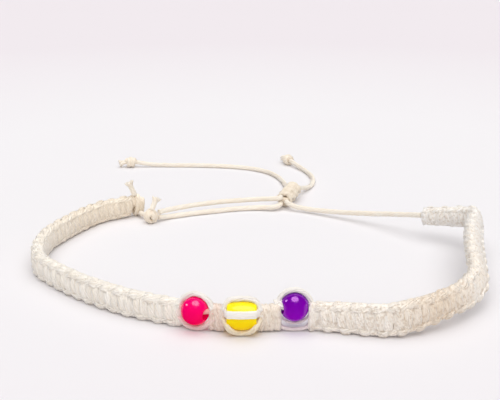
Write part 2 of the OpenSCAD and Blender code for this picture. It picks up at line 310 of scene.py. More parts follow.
def strandBundle(path, thickWay, halfWide, halfThick, cord, fray=0.0):
    # Strand j of a cord stands at the angle 2 pi j / n + twist on the ellipse that the cord's half width and
    # half thickness leave for it, and each strand is a tube of rings square to its own line. A tube of
    # elliptic rings fills the middle
    path = np.asarray(path, float)
    count = cord["strands"]
    radius = cord["strandRadius"]
    along = lengthAlong(path)
    way = unit(np.gradient(path, along, axis=0))
    thick = unit(thickWay - (thickWay * way).sum(1, keepdims=True) * way)
    wide = np.cross(way, thick)
    start = luck.uniform(0, 2 * np.pi)
    stray = cord["wobble"] * wander(along, count, spinning["strayWave"])
    turn = start + 2 * np.pi * along / cord["twist"] + stray
    angle = 2 * np.pi * np.arange(count)[:, None] / count + turn
    loose = 1 + spinning["loose"] * wander(along, count, spinning["looseWave"])
    if fray:
        loose = loose * (1 + spinning["frayOut"] * softStep(along, along[-1] - fray, along[-1]))
    across = (np.cos(angle) * (halfWide - radius) * loose)[..., None] * wide
    proud = (np.sin(angle) * (halfThick - radius) * loose)[..., None] * thick
    lines = path + across + proud
    strandWay = unit(np.gradient(lines, axis=1))
    strandUp = unit(thick - (thick * strandWay).sum(2, keepdims=True) * strandWay)
    strandSide = np.cross(strandWay, strandUp)
    size = radius * (1 + spinning["uneven"] * wander(along, count, spinning["unevenWave"]))
    ring = 2 * np.pi * np.arange(cord["sides"]) / cord["sides"]
    points = (lines[:, :, None]
        + size[..., None, None] * (np.cos(ring)[:, None] * strandSide[:, :, None]
            + np.sin(ring)[:, None] * strandUp[:, :, None]))
    ring = ring + np.pi / cord["sides"]
    inner = (path[:, None] + cord["fill"] * (halfWide * np.cos(ring)[:, None] * wide[:, None]
        + halfThick * np.sin(ring)[:, None] * thick[:, None]))
    return {"points": np.concatenate([points, inner[None]]), "along": along}


def tubeFaces(shape, base):
    # Quads round and along each tube and one polygon over each end, all facing outwards
    count, rings, sides = shape
    index = base + np.arange(count * rings * sides).reshape(shape)
    nextSide = np.roll(index, -1, axis=2)
    quads = np.stack([index[:, :-1], index[:, 1:], nextSide[:, 1:], nextSide[:, :-1]], axis=-1)
    return quads.reshape(-1, 4), np.vstack([index[:, 0], index[:, -1, ::-1]])


def tubeMap(shape, along, first):
    # Across: the share of the way round a strand, with each strand set off from the last; along: millimetres
    count, rings, sides = shape
    side = np.arange(sides) / sides
    offset = (first + np.arange(count)) * 1.37  # no whole number, so that no two strands look alike
    u = np.stack([side, side, side + 1 / sides, side + 1 / sides], axis=-1)[None, None]
    u = offset[:, None, None, None] + u + np.zeros((count, rings - 1, sides, 4))
    low, high = along[:-1], along[1:]
    v = np.stack([low, high, high, low], axis=-1)[None, :, None] + np.zeros_like(u)
    quadMap = np.stack([u, v], axis=-1).reshape(-1, 2)
    ends = np.repeat(np.stack([offset, 0 * offset], axis=-1)[None], 2, axis=0)
    capMap = np.repeat(ends.reshape(-1, 1, 2), sides, axis=1).reshape(-1, 2)
    return quadMap, capMap


def putMesh(name, points, faceSizes, corners, material, cornerMap=None):
    # Points in mm, how many corners each face has, and the corners of all faces one after another
    mesh = bpy.data.meshes.new(name)
    mesh.vertices.add(len(points))
    mesh.vertices.foreach_set("co", (np.asarray(points) * mm).astype(np.float32).ravel())
    mesh.loops.add(len(corners))
    mesh.loops.foreach_set("vertex_index", corners.astype(np.int32))
    mesh.polygons.add(len(faceSizes))
    starts = np.concatenate([[0], np.cumsum(faceSizes)[:-1]])
    mesh.polygons.foreach_set("loop_start", starts.astype(np.int32))
    mesh.polygons.foreach_set("use_smooth", np.ones(len(faceSizes), bool))
    if cornerMap is not None:
        layer = mesh.uv_layers.new(name="strandMap")
        layer.data.foreach_set("uv", cornerMap.astype(np.float32).ravel())
    mesh.update(calc_edges=True)
    mesh.validate()
    mesh.materials.append(material)
    piece = bpy.data.objects.new(name, mesh)
    bpy.context.scene.collection.objects.link(piece)
    return piece


def bundlePiece(name, bundles, material, node):
    # One mesh of many strands for one solid
    points, quads, caps, quadMaps, capMaps, sizes = [], [], [], [], [], []
    base = 0
    strand = 0
    for bundle in bundles:
        shape = bundle["points"].shape[:3]
        faces, ends = tubeFaces(shape, base)
        quadMap, capMap = tubeMap(shape, bundle["along"], strand)
        points.append(bundle["points"].reshape(-1, 3))
        quads.append(faces.ravel())
        quadMaps.append(quadMap)
        caps.append(ends.ravel())
        capMaps.append(capMap)
        sizes.append((len(faces), len(ends), shape[2]))
        base += shape[0] * shape[1] * shape[2]
        strand += shape[0]
    faceSizes = np.concatenate([np.full(quadCount, 4) for quadCount, _, _ in sizes]
        + [np.full(capCount, sides) for _, capCount, sides in sizes])
    piece = putMesh(name, np.vstack(points), faceSizes, np.concatenate(quads + caps), material,
        np.vstack(quadMaps + capMaps))
    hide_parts(node)
    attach(piece, "root")
    return piece


def nodeMiddle(name):
    # The middle of a solid's box, in mm
    low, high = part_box(name)
    return np.array((low + high) / 2) / mm


beads = {
    "names": ["pink", "yellow", "purple"],
    "diameter": 4.0,
    "bore": 1.5,
    "barrel": 4.2,  # length of the yellow one, whose ends are flat
    "swell": 6.4,  # radius of the arc along the yellow one's side
    "edge": 0.22,  # radius of its rounded rims
    "gap": 0.15,  # from a bead to the knots beside it
    "lip": 0.1,  # radius of the rounded mouth of the hole
    "boreTurn": [16, 0, -15],  # degrees by which each hole is turned towards the front
    "boreDip": [5, 0, 0],
    "sides": 96,
}
beadMiddles = [nodeMiddle("bead_" + name) for name in beads["names"]]

band = {
    # x, y, height of the lower edge, lean of the top inwards in degrees, width: from the back left end
    "rows": [
        [-23.0, 51.2, 0.2, 0, 4.0], [-28.8, 46.4, 0, 0, 4.2], [-33.8, 35.0, 0, 0, 4.2],
        [-34.8, 28.0, 0, 0, 4.2], [-33.8, 21.4, 0, 0, 4.2], [-31.1, 17.0, 0, 0, 4.2],
        [-24.0, 9.8, 0, 0, 4.2], [-16.4, 4.4, 0, 0, 4.2], [-7.6, 0.8, 0, 0, 4.0],
        [-1.2, -0.4, 0, 0, 3.9], [6.1, 0.2, 0, 0, 4.0], [10.5, -0.3, 0, 0, 4.35],
        [17.6, -1.9, 0, 0, 4.75], [21.2, -1.7, 0.3, 3, 4.85], [24.8, 0.0, 0.8, 5, 4.5],
        [28.1, 2.3, 1.2, 9, 4.3], [30.9, 5.2, 1.0, 16, 4.6], [33.3, 9.2, 1.4, 26, 4.6],
        [34.3, 14.5, 2.2, 34, 4.5], [35.5, 21.3, 2.7, 35, 4.3], [37.3, 28.7, 2.9, 28, 4.2],
        [38.7, 34.0, 2.9, 14, 4.2], [35.6, 36.8, 2.7, 4, 3.7], [30.8, 38.8, 2.5, 0, 3.2]],
    "thick": 2.2,
    "pitch": 2.5,  # one full square knot
}
bandLine = smoothLine(band["rows"], 20)
bandAlong = lengthAlong(bandLine[:, :2])
bandLength = bandAlong[-1]
upright = np.array([0.0, 0.0, 1.0])


def bandRow(s):
    # The five columns of the table s mm along the band
    return np.stack([np.interp(s, bandAlong, bandLine[:, k]) for k in range(5)], axis=-1)


def bandWay(s):
    # The level direction of the band, from 0.2 mm before the place to 0.2 mm past it
    step = bandRow(np.minimum(s + 0.2, bandLength)) - bandRow(np.maximum(s - 0.2, 0))
    return unit(step[..., :3] * [1, 1, 0])


def bandFrame(s):
    # The middle of the band's section s mm along it, its directions across and out of the face, and its half
    # width. Past an end it goes straight on
    inside = np.clip(s, 0, bandLength)
    row = bandRow(inside)
    way = bandWay(inside)
    lean = np.radians(row[..., 3:4])
    out = np.stack([way[..., 1], -way[..., 0], 0 * way[..., 0]], axis=-1)
    up = np.cos(lean) * upright - np.sin(lean) * out
    face = np.cos(lean) * out + np.sin(lean) * upright
    height = (row[..., 4:5] / 2 * np.cos(lean) + band["thick"] / 2 * np.abs(np.sin(lean))
        + np.maximum(row[..., 2:3], 0))
    middle = row[..., :3] * [1, 1, 0] + height * upright - loopMiddle
    return middle + (s - inside)[..., None] * way, up, face, row[..., 4] / 2


def alongBand(point):
    # The length along the band where it passes a point of the front stretch, where x rises all the way
    x = point[0] + loopMiddle[0]
    front = (bandLine[:, 1] < 8) & (np.abs(bandLine[:, 0]) < 20)
    s = np.interp(x, bandLine[front, 0], bandAlong[front])
    return float(s + (point[1] + loopMiddle[1] - bandRow(s)[1]) * bandWay(s)[1])


beadAt = [alongBand(middle) for middle in beadMiddles]
beadReach = [length / 2 + beads["gap"]
    for length in (beads["diameter"], beads["barrel"], beads["diameter"])]

# twist: mm for a whole turn; fill: size of the tube in the middle, as a share; wobble: in radians
flossCord = {"strands": 13, "sides": 4, "strandRadius": 0.125, "twist": 9.0, "fill": 0.96, "wobble": 0.25}
coreCord = {"strands": 7, "sides": 5, "strandRadius": 0.2, "twist": 7.0, "fill": 0.92, "wobble": 0.2}
knotting = {
    "ringsPerKnot": 24,
    "slide": 0.13,  # how far a cord runs ahead before it crosses, as a share of the pitch
    "settle": 0.15,  # knots from each end over which it comes to do so
    "barFrom": 0.45,  # sine of the turn from which a cord is on its way over the face
    "bar": 0.68,  # depth of a cross bar's middle line from the core, as a share of the half thickness
    "bump": 0.45,  # the same for the side loops of the back cord, on the front
    "tuck": -0.15,  # the same for the bends of the front cord, tucked behind the side loops
    "frontReach": 0.95,  # half width to which the bends reach, as a share
    "halfWide": 0.78,
    "halfThick": 0.42,
    "uneven": 0.07,  # along the band
    "unevenAcross": 0.3,  # share of that at the edges, with one whole more in a bar
    "unevenDeep": 0.6,
    "unevenWave": 4.0,
    # how a cord's thickness lies: across the band at the edges, then out of its face there and in a bar
    "backLie": (0.8, 0.6, -1.0),
    "frontLie": (1.0, -0.1, 1.0),
}
knotCore = {"step": 0.7, "fromEdge": 0.84, "inset": 0.1, "halfWide": 0.8, "halfThick": 0.9}


def knotCourse(t, knots, back):
    # Where a working cord is after t of a row's square knots: its swing from edge to edge as a cosine of t,
    # how full that swing is, how far it is over the face while the sine of t is high, and how far it has run
    # ahead, as slide * sin(4 pi t). The back cord is the same half a knot later
    swing = np.cos(2 * np.pi * t) * (-1 if back else 1)
    fullness = 1.25 - 0.25 * swing ** 2
    crossing = softStep(np.abs(np.sin(2 * np.pi * t)), knotting["barFrom"], 1)
    settled = softStep(np.minimum(t, knots - t), 0, knotting["settle"])
    ahead = knotting["slide"] * np.sin(4 * np.pi * t) * settled
    return swing, fullness, crossing, ahead


def knotLie(swing, crossing, back):
    # The thick way of a working cord, across the band and out of its face
    across, outAtEdge, outInBar = knotting["backLie"] if back else knotting["frontLie"]
    return across * swing, outAtEdge + (outInBar - outAtEdge) * crossing


def workingCord(s0, s1, back):
    # One of the two cords of a row of square knots. The front cord's bars cross the face and the back cord's
    # cross behind it, where its side loops bulge out at the edges
    knots = (s1 - s0) / band["pitch"]
    knots = max(round(2 * knots), 1) / 2
    t = np.linspace(0, knots, int(knotting["ringsPerKnot"] * knots) + 1)
    swing, fullness, crossing, ahead = knotCourse(t, knots, back)
    noise = knotting["uneven"] * wander(t * band["pitch"], 3, knotting["unevenWave"])
    s = s0 + (s1 - s0) / knots * (t + ahead) + noise[0]
    middle, up, face, halfWidth = bandFrame(s)
    halfThick = knotting["halfThick"]
    deep = band["thick"] / 2
    if back:
        reach = halfWidth - halfThick
        v = deep * (knotting["bump"] - (knotting["bump"] + knotting["bar"]) * crossing)
    else:
        reach = halfWidth * knotting["frontReach"] - halfThick
        v = deep * (knotting["tuck"] + (knotting["bar"] - knotting["tuck"]) * crossing)
    low = -(halfWidth - halfThick)
    u = np.maximum(reach * swing * fullness + noise[1] * (knotting["unevenAcross"] + crossing), low)
    path = middle + u[:, None] * up + (v + knotting["unevenDeep"] * noise[2])[:, None] * face
    across, out = knotLie(swing, crossing, back)
    thickWay = across[:, None] * up + out[:, None] * face
    return strandBundle(path, thickWay, knotting["halfWide"], halfThick, flossCord)


def coreCords(s0, s1):
    # Three cords one above the other in the middle of the knots
    s0, s1 = s0 + knotCore["inset"], s1 - knotCore["inset"]
    s = np.linspace(s0, s1, max(int((s1 - s0) / knotCore["step"]), 4))
    middle, up, face, halfWidth = bandFrame(s)
    spread = (halfWidth - knotCore["fromEdge"])[:, None] * up
    return [strandBundle(middle + side * spread, face, knotCore["halfWide"], knotCore["halfThick"], coreCord)
        for side in (-1, 0, 1)]


def fuzz(bundles, perMillimetre):
    # Loose fibre ends: each starts on a strand and leaves it as a point p + d t + b t^2 of a bent line, with
    # three rings of three corners that narrow to a tip
    settings = {
        "length": (0.25, 1.0),
        "radius": 0.012,
        "lift": (0.3, 1.0),  # how steeply it leaves the strand
        "stray": 0.35,
        "bend": 0.35,
        "floor": 0.03,  # no fibre goes lower than this
        "rings": ((0.0, 1.0), (0.5, 0.8), (1.0, 0.25)),  # share of the length, and of the radius
    }
    out = []
    for bundle in bundles:
        points = bundle["points"]
        count = int(perMillimetre * bundle["along"][-1])
        if count < 1:
            continue
        strand = luck.integers(0, points.shape[0], count)
        ring = luck.integers(1, points.shape[1] - 1, count)
        corner = luck.integers(0, points.shape[2], count)
        root = points[strand, ring, corner]
        middle = points[strand, ring].mean(1)
        way = unit(points[strand, ring + 1].mean(1) - middle)
        away = unit(root - points[:, ring].mean((0, 2)))
        lead = unit(away * luck.uniform(*settings["lift"], (count, 1))
            + way * luck.choice([-1, 1], (count, 1))
            + luck.normal(0, settings["stray"], (count, 3)))
        length = luck.uniform(*settings["length"], (count, 1))
        bend = luck.normal(0, settings["bend"], (count, 3))
        side = unit(np.cross(lead, away + 0.01))
        other = np.cross(lead, side)
        rings = []
        for t, size in settings["rings"]:
            line = root + (lead * t + bend * t * t) * length
            line[:, 2] = np.maximum(line[:, 2], settings["floor"])
            for angle in (0, 2 * np.pi / 3, 4 * np.pi / 3):
                spoke = math.cos(angle) * side + math.sin(angle) * other
                rings.append(line + settings["radius"] * size * spoke)
        points = np.moveaxis(np.stack(rings).reshape(3, 3, count, 3), 2, 0)
        out.append({"points": points, "along": np.array([0, 0.3, 0.6])})
    return out


tightTurn = {
    "halfWide": 0.56,
    "half": 0.35,
    "slant": 0.1,
    "proud": 0.04,  # how far it stands out of the band's face
    "corner": 0.6,  # power below 1 that makes the ring nearly a box
    "rings": 53,
    "fromBead": 0.35,  # from the end of a long stretch to the turn beside the bead
    "fromEnd": 0.32,  # the same in a short stretch, which is nothing but turns
    "spacing": 0.75,
}
looseFibres = {"band": 1.2, "sides": 2.0}  # loose fibre ends per mm of cord


def wrap(s, slant):
    # One turn of a working cord round the whole band, as a flattened ring whose front leans by slant. A
    # superellipse: the sine and cosine are raised to a power below 1
    half = tightTurn["half"]
    deep = band["thick"] / 2 + tightTurn["proud"] - half
    t = np.linspace(-np.pi, np.pi, 721)
    for _ in range(2):
        middle, up, face, halfWidth = bandFrame(s + slant * np.sin(t))
        across, proud = (np.sign(x) * np.abs(x) ** tightTurn["corner"] for x in (np.sin(t), np.cos(t)))
        path = (middle + ((halfWidth - half) * across)[:, None] * up
            + (deep * proud)[:, None] * face)
        along = lengthAlong(path)
        # the second time round with even steps
        t = np.interp(np.linspace(0, along[-1], tightTurn["rings"]), along, t)
    thickWay = across[:, None] * up + proud[:, None] * face
    return strandBundle(path, thickWay, tightTurn["halfWide"], half, flossCord)


def knottedStretch(name, s0, s1, material, turnAt=()):
    # A long stretch is a row of square knots. Beside a bead its first half knot is pulled up tight: a turn
    # round the band that hides the cords' ends
    bundles = []
    if turnAt:
        bundles = [workingCord(s0, s1, back) for back in (False, True)]
    else:
        first, last = s0 + tightTurn["fromEnd"], s1 - tightTurn["fromEnd"]
        turnAt = np.linspace(first, last, round((s1 - s0) / tightTurn["spacing"]))
    bundles += [wrap(s, tightTurn["slant"] * (-1) ** i) for i, s in enumerate(turnAt)]
    loose = fuzz(bundles, looseFibres["band"])
    bundles += coreCords(s0, s1) + loose
    bundlePiece(name + "_cords", bundles, material, name)


leftEnd = beadAt[0] - beadReach[0]
rightStart = beadAt[2] + beadReach[2]
knottedStretch("band_left", 0, leftEnd, flossMaterial, [leftEnd - tightTurn["fromBead"]])
knottedStretch("knots_pink_yellow", beadAt[0] + beadReach[0], beadAt[1] - beadReach[1], pinkLitKnotMaterial)
knottedStretch("knots_yellow_purple", beadAt[1] + beadReach[1], beadAt[2] - beadReach[2], shadedMaterial)
knottedStretch("band_right", rightStart, bandLength, rightBandMaterial, [rightStart + tightTurn["fromBead"]])
print("band knotted")


def lathePiece(name, profile, axis, middle, material, node):
    # A closed outline of radius and place on the axis, turned round it
    sides = beads["sides"]
    axis = unit(axis)
    side = unit(np.cross(axis, upright))
    other = np.cross(axis, side)
    angle = 2 * np.pi * np.arange(sides) / sides
    spokes = np.cos(angle)[:, None] * side + np.sin(angle)[:, None] * other
    points = middle + profile[:, None, 1:2] * axis + profile[:, None, 0:1] * spokes[None]
    rings = len(profile)
    index = np.arange(rings * sides).reshape(rings, sides)
    below = np.roll(index, -1, axis=0)
    faces = np.stack([index, np.roll(index, -1, axis=1), np.roll(below, -1, axis=1), below], axis=-1)
    faces = faces.reshape(-1, 4)
    piece = putMesh(name, points.reshape(-1, 3), np.full(len(faces), 4), faces.ravel(), material)
    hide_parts(node)
    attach(piece, "root")


def boreWall(bore, height):
    # Half a section of the hole, from the upper lip to the lower one
    return np.stack([np.full(8, bore), np.linspace(height, -height, 10)[1:-1]], axis=-1)


def roundBeadProfile(radius, bore, lip):
    # Half a section: the ball's arc, a rounded lip tangent to it and to the hole's wall, and the wall
    lipAt = math.sqrt((radius - lip) ** 2 - (bore + lip) ** 2)
    meet = math.atan2(lipAt, bore + lip)
    arc = np.linspace(-meet, meet, 60)
    outer = np.stack([radius * np.cos(arc), radius * np.sin(arc)], axis=-1)
    turn = np.linspace(meet, math.pi, 12)[1:]
    top = np.stack([bore + lip + lip * np.cos(turn), lipAt + lip * np.sin(turn)], axis=-1)
    return np.vstack([outer, top, boreWall(bore, lipAt), top[::-1] * [1, -1]])


def barrelProfile(radius, swell, half, edge, bore, lip):
    # The same for a barrel: a shallow arc of radius swell, a rounded edge, a flat end, a lip and the wall
    arc = np.linspace(-1, 1, 40)
    reach = half - edge
    sink = swell - np.sqrt(swell ** 2 - (arc * reach) ** 2)
    outer = np.stack([radius - sink, arc * reach], axis=-1)
    slope = math.asin(reach / swell)
    shoulder = outer[-1] - edge * np.array([math.cos(slope), math.sin(slope)])
    turn = np.linspace(slope, math.pi / 2, 12)[1:]
    corner = shoulder + edge * np.stack([np.cos(turn), np.sin(turn)], axis=-1)
    top = corner[-1][1]
    flat = np.stack([np.linspace(corner[-1][0], bore + lip, 8)[1:], np.full(7, top)], axis=-1)
    turn = np.linspace(math.pi / 2, math.pi, 10)[1:]
    mouth = np.stack([bore + lip + lip * np.cos(turn), top - lip + lip * np.sin(turn)], axis=-1)
    upper = np.vstack([corner, flat, mouth])
    return np.vstack([outer, upper, boreWall(bore, top - lip), upper[::-1] * [1, -1]])


def beadProfile(name):
    radius, bore, lip = beads["diameter"] / 2, beads["bore"] / 2, beads["lip"]
    if name == "yellow":
        return barrelProfile(radius, beads["swell"], beads["barrel"] / 2, beads["edge"], bore, lip)
    return roundBeadProfile(radius, bore, lip)


def throughBead(i):
    # The direction of a bead's hole: the band's way there, turned towards the front and dipped
    way = bandWay(beadAt[i])
    heading = math.atan2(way[1], way[0]) - math.radians(beads["boreTurn"][i])
    dip = math.radians(beads["boreDip"][i])
    return np.array([math.cos(dip) * math.cos(heading), math.cos(dip) * math.sin(heading), -math.sin(dip)])


for i, material in enumerate((pinkMaterial, yellowMaterial, purpleMaterial)):
    name = beads["names"][i]
    lathePiece("bead_" + name + "_acrylic", beadProfile(name), throughBead(i), beadMiddles[i], material,
        "bead_" + name)
print("beads turned")

beadCords = {
    # bead, half of each cord from its middle to its end, and its half width and thickness where they differ:
    # along the band, outwards and upwards from the bead's centre. The last points lie inside the knots
    "sides": {
        "pink_top": [0, [[0, -0.3, 2.4], [0.9, -0.28, 2.22], [1.55, -0.25, 1.84], [2.0, -0.2, 1.35],
            [2.25, -0.1, 0.85], [2.5, 0, 0.45]]],
        "pink_low": [0, [[0, 0.3, -2.36], [0.9, 0.3, -2.22], [1.55, 0.25, -1.85], [2.0, 0.2, -1.45],
            [2.4, 0.1, -1.1], [2.8, 0, -0.8]]],
        "yellow_top": [1, [[0, -0.3, 2.4], [1.0, -0.3, 2.34], [1.75, -0.3, 2.12], [2.15, -0.2, 1.7],
            [2.35, -0.1, 1.2], [2.6, 0, 0.7]]],
        "yellow_low": [1, [[0, 1.1, -2.1], [0.8, 1.3, -1.95], [1.45, 1.65, -1.5], [1.9, 1.7, -1.0],
            [2.15, 1.1, -0.75], [2.3, 0.6, -0.6], [2.6, 0.2, -0.5]], (0.42, 0.34)],
        "purple_top": [2, [[0, -0.3, 2.4], [0.9, -0.28, 2.22], [1.55, -0.25, 1.8], [2.0, -0.2, 1.2],
            [2.25, -0.1, 0.6], [2.5, 0, 0.15]]],
        "purple_low": [2, [[0, 0.6, -3.05], [1.0, 0.58, -2.99], [1.7, 0.5, -2.75], [2.2, 0.35, -2.25],
            [2.6, 0.1, -1.65]], (0.4, 0.28)],
    },
    # the thin strand that lies closest under the purple bead
    "under": [2, [[0, 0.3, -2.24], [0.8, 0.3, -2.12], [1.5, 0.25, -1.72], [2.1, 0.15, -1.1],
        [2.6, 0, -0.7]]],
    "underHalf": (0.2, 0.2),
    "front": [1, [[0, 2.12, 0.98], [1.0, 2.06, 0.96], [1.72, 1.9, 0.92], [2.0, 1.66, 0.88], [2.1, 1.3, 0.8],
        [2.16, 0.8, 0.7], [2.3, 0.3, 0.55], [2.6, 0.0, 0.5]]],
    "slope": -0.02,  # the front cord climbs a little from left to right
    "sideCord": {"strands": 9, "sides": 6, "strandRadius": 0.13, "twist": 8.0, "fill": 0.8, "wobble": 0.3},
    "sideHalf": (0.44, 0.4),
    "underCord": {"strands": 3, "sides": 6, "strandRadius": 0.12, "twist": 4.0, "fill": 0.8, "wobble": 0.2},
    "threadCord": {"strands": 6, "sides": 6, "strandRadius": 0.12, "twist": 5.0, "fill": 0.8, "wobble": 0.2},
    "frontCord": {"strands": 13, "sides": 6, "strandRadius": 0.11, "twist": 90.0, "fill": 0.8,
        "wobble": 0.08},
    "frontHalf": (0.57, 0.22),
    "frontRoll": 0.8,  # how far the front cord's flat side turns with it at the ends
    "step": 0.18,
    "threadRise": [0.36, 0.36, 0.2],  # the thread lies against the roof of the hole
    "exitRise": [0, 0, 0.5],  # how far the thread climbs where it leaves on the left
    "exitAt": 2.1,  # from the bead's centre to the thread's bend outside the hole
    "exitShare": 0.6,  # share of the rise that is left there
    "tuck": 0.6,  # how far it runs into the knots
    "threadHalf": [0.4, 0.4, 0.54],
    "threadStep": 0.12,
}


def besideBead(row, slope=0.0, flat=False):
    # The half and its mirror image on one smooth line. The thick way is the offset from the line through the
    # hole, for a flat cord its level part, which rolls round at the ends
    i, half = row[:2]
    half = np.array(half, float)
    way = bandWay(beadAt[i])
    out = np.array([way[1], -way[0], 0])
    line = evenLine(smoothLine(np.vstack([half[:0:-1] * [-1, 1, 1], half]), 8), beadCords["step"])
    offset = line[:, 1:2] * out + (line[:, 2:3] - slope * line[:, 0:1]) * upright
    path = beadMiddles[i] + line[:, 0:1] * way + offset
    if flat:
        return path, line[:, 1:2] * out + beadCords["frontRoll"] * line[:, 0:1] * way
    return path, offset


for name, row in beadCords["sides"].items():
    path, offset = besideBead(row)
    half = row[2] if len(row) > 2 else beadCords["sideHalf"]
    bundles = [strandBundle(path, offset, *half, beadCords["sideCord"])]
    if name == "purple_low":
        path, offset = besideBead(beadCords["under"])
        bundles.append(strandBundle(path, offset, *beadCords["underHalf"], beadCords["underCord"]))
    bundles += fuzz(bundles, looseFibres["sides"])
    bead, place = name.split("_")
    material = sideShadeMaterial if place == "top" else underMaterials[bead]
    bundlePiece("side_cord_" + name + "_strands", bundles, material, "side_cord_" + name)
path, offset = besideBead(beadCords["front"], beadCords["slope"], flat=True)
bundles = [strandBundle(path, offset, *beadCords["frontHalf"], beadCords["frontCord"])]
bundlePiece("front_cord_yellow_strands", bundles, cordMaterial, "front_cord_yellow")

for i, name in enumerate(beads["names"]):
    # Along the hole inside the bead, then bent back sharply to the middle of the band's knots
    through = throughBead(i)
    way = bandWay(beadAt[i])
    rise = beadCords["threadRise"][i] * upright
    climb = beadCords["exitRise"][i] * upright
    inside = [f * through + rise for f in (-1.5, -0.5, 0.5, 1.5)]
    bends = [f * beadCords["exitAt"] * way + beadCords["exitShare"] * rise for f in (-1, 1)]
    ends = [f * (beadReach[i] + beadCords["tuck"]) * way for f in (-1, 1)]
    turns = np.array([ends[0] + climb, bends[0] + climb, *inside, bends[1], ends[1]])
    path = evenLine(smoothLine(turns + beadMiddles[i], 8), beadCords["threadStep"])
    half = beadCords["threadHalf"][i]
    bundle = strandBundle(path, np.tile(upright, (len(path), 1)), half, half, beadCords["threadCord"])
    material = pinkLitThreadMaterial if name == "pink" else cordMaterial
    bundlePiece("thread_" + name + "_strands", [bundle], material, "thread_" + name)
print("cords laid past the beads")

closing = {
    "cord": {"strands": 6, "sides": 6, "strandRadius": 0.18, "twist": 5.5, "fill": 0.8, "wobble": 0.15},
    "half": 0.5,
    "step": 0.3,
    # x, y, z, as the solid cords have them
    "routes": {
        "lead_cord": [[-21.0, 50.6, 1.0], [-20.25, 49.9, 0.9], [-19.5, 49.1, 1.1]],
        "loop_cord_low": [[-17.3, 48.2, 0.85], [-14.7, 50.1, 0.5], [-10.6, 52.0, 0.5], [-6.8, 53.4, 0.5],
            [-2.2, 54.9, 0.5], [2.0, 55.3, 0.6], [4.3, 54.8, 0.8], [5.6, 55.2, 1.0], [6.1, 56.6, 1.1]],
        "loop_cord_high": [[-17.2, 48.45, 1.83], [-14.9, 50.8, 1.72], [-10.4, 53.6, 1.7], [-6.2, 55.4, 1.7],
            [-2.0, 56.6, 1.7], [1.8, 57.0, 1.8], [4.3, 56.3, 2.1], [5.6, 56.0, 2.3], [6.2, 56.6, 2.4]],
        "loop_cord_right": [[30.5, 38.95, 4.2], [28.9, 40.5, 3.8], [26.4, 42.7, 3.2], [22.4, 46.2, 2.2],
            [18.6, 49.0, 1.5], [14.6, 51.6, 1.0], [11.2, 53.6, 0.8], [8.8, 54.7, 1.0], [7.5, 55.4, 1.4],
            [7.15, 56.25, 1.5]],
    },
    "tails": {
        "left": [[8.5, 65.0, 2.1], [8.1, 67.4, 1.3], [7.7, 70.6, 0.6], [7.2, 74.6, 0.5], [6.0, 79.0, 0.5],
            [3.6, 83.2, 0.5], [-0.5, 86.3, 0.5], [-6.0, 88.0, 0.5], [-12.0, 88.8, 0.5], [-19.0, 89.1, 0.5],
            [-23.4, 89.1, 0.7], [-26.2, 89.0, 1.2]],
        "right": [[9.7, 64.7, 2.1], [11.0, 67.2, 1.2], [12.6, 70.4, 0.55], [13.6, 74.4, 0.5],
            [13.7, 78.8, 0.5], [12.7, 83.4, 0.5], [10.8, 87.7, 0.8], [9.6, 89.9, 1.2]],
    },
    # where a tail goes on through its knot to a short cut tip
    "tips": {
        "left": [[-27.6, 89.0, 1.25], [-29.0, 88.9, 1.2], [-30.3, 88.7, 0.9]],
        "right": [[9.0, 91.3, 1.25], [8.4, 92.5, 1.2], [7.9, 93.8, 0.9]],
    },
    # start, end, width, height, turns
    "knots": {
        "end_knot": [[-22.85, 51.33, 2.25], [-20.6, 52.5, 2.25], 3.0, 4.4, 2],
        "tie_knot": [[-19.4, 48.9, 1.35], [-17.9, 46.2, 1.35], 2.8, 2.7, 2],
        "tail_knot_left": [[-26.3, 89.0, 1.25], [-29.0, 88.9, 1.25], 2.6, 2.5, 2],
        "tail_knot_right": [[9.5, 90.1, 1.25], [8.4, 92.5, 1.25], 2.6, 2.5, 2],
    },
    "stubs": {
        "end_stub": [[-22.25, 51.63, 4.65], [-23.1, 51.7, 6.8]],
        "tie_stub": [[-18.3, 47.7, 2.9], [-17.6, 48.6, 4.6]],
    },
    "stubHalf": 0.52,
    "stubRoot": 0.25,  # share of its length that it goes on for inside its knot
    "stubFray": 0.8,  # mm of a cut end that is frayed
    "tailFray": 0.9,
}


def crossWays(path):
    # A level and a rising direction square to a path
    way = unit(np.gradient(path, axis=0))
    side = unit(np.cross(way, upright))
    return side, np.cross(side, way)


def routeBundle(points, fray=0.0):
    # A round cord through the points, and the line that it follows
    path = evenLine(smoothLine(np.asarray(points) - loopMiddle, 12), closing["step"])
    _, up = crossWays(path)
    return path, strandBundle(path, up, closing["half"], closing["half"], closing["cord"], fray)


for name, points in closing["routes"].items():
    _, bundle = routeBundle(points)
    bundlePiece(name + "_strands", [bundle], cordMaterial, name)

overhand = {
    "halfWide": 0.6,
    "half": 0.46,
    "along": (0.16, 0.84),  # shares of the knot's length between which the coil lies
    "extraTurn": 0.4,
    "innerSize": 0.25,  # share of the coil's radius at its ends
    "grow": 0.3,  # turns over which it comes to its full radius
    "ringsPerTurn": 26,
    "ringsMore": 14,
}


def overhandBundle(start, end, wide, high, turns):
    # A cord coiled round the line from start to end: the coil's radius sinks to the core at both its ends
    f = np.linspace(0, 1, overhand["ringsPerTurn"] * turns + overhand["ringsMore"])
    a, b = (np.asarray(p) - loopMiddle for p in (start, end))
    half = overhand["half"]
    first, last = overhand["along"]
    axis = a + (b - a) * (first + (last - first) * f)[:, None]
    side, up = crossWays(a + (b - a) * f[:, None])
    angle = 2 * np.pi * (turns + overhand["extraTurn"]) * f
    grow = softStep(np.minimum(f, 1 - f) * turns, 0, overhand["grow"])
    grow = overhand["innerSize"] + (1 - overhand["innerSize"]) * grow
    spoke = (np.cos(angle) * (wide / 2 - half) * grow)[:, None] * side
    spoke = spoke + (np.sin(angle) * (high / 2 - half) * grow)[:, None] * up
    return strandBundle(axis + spoke, unit(spoke), overhand["halfWide"], half, closing["cord"])


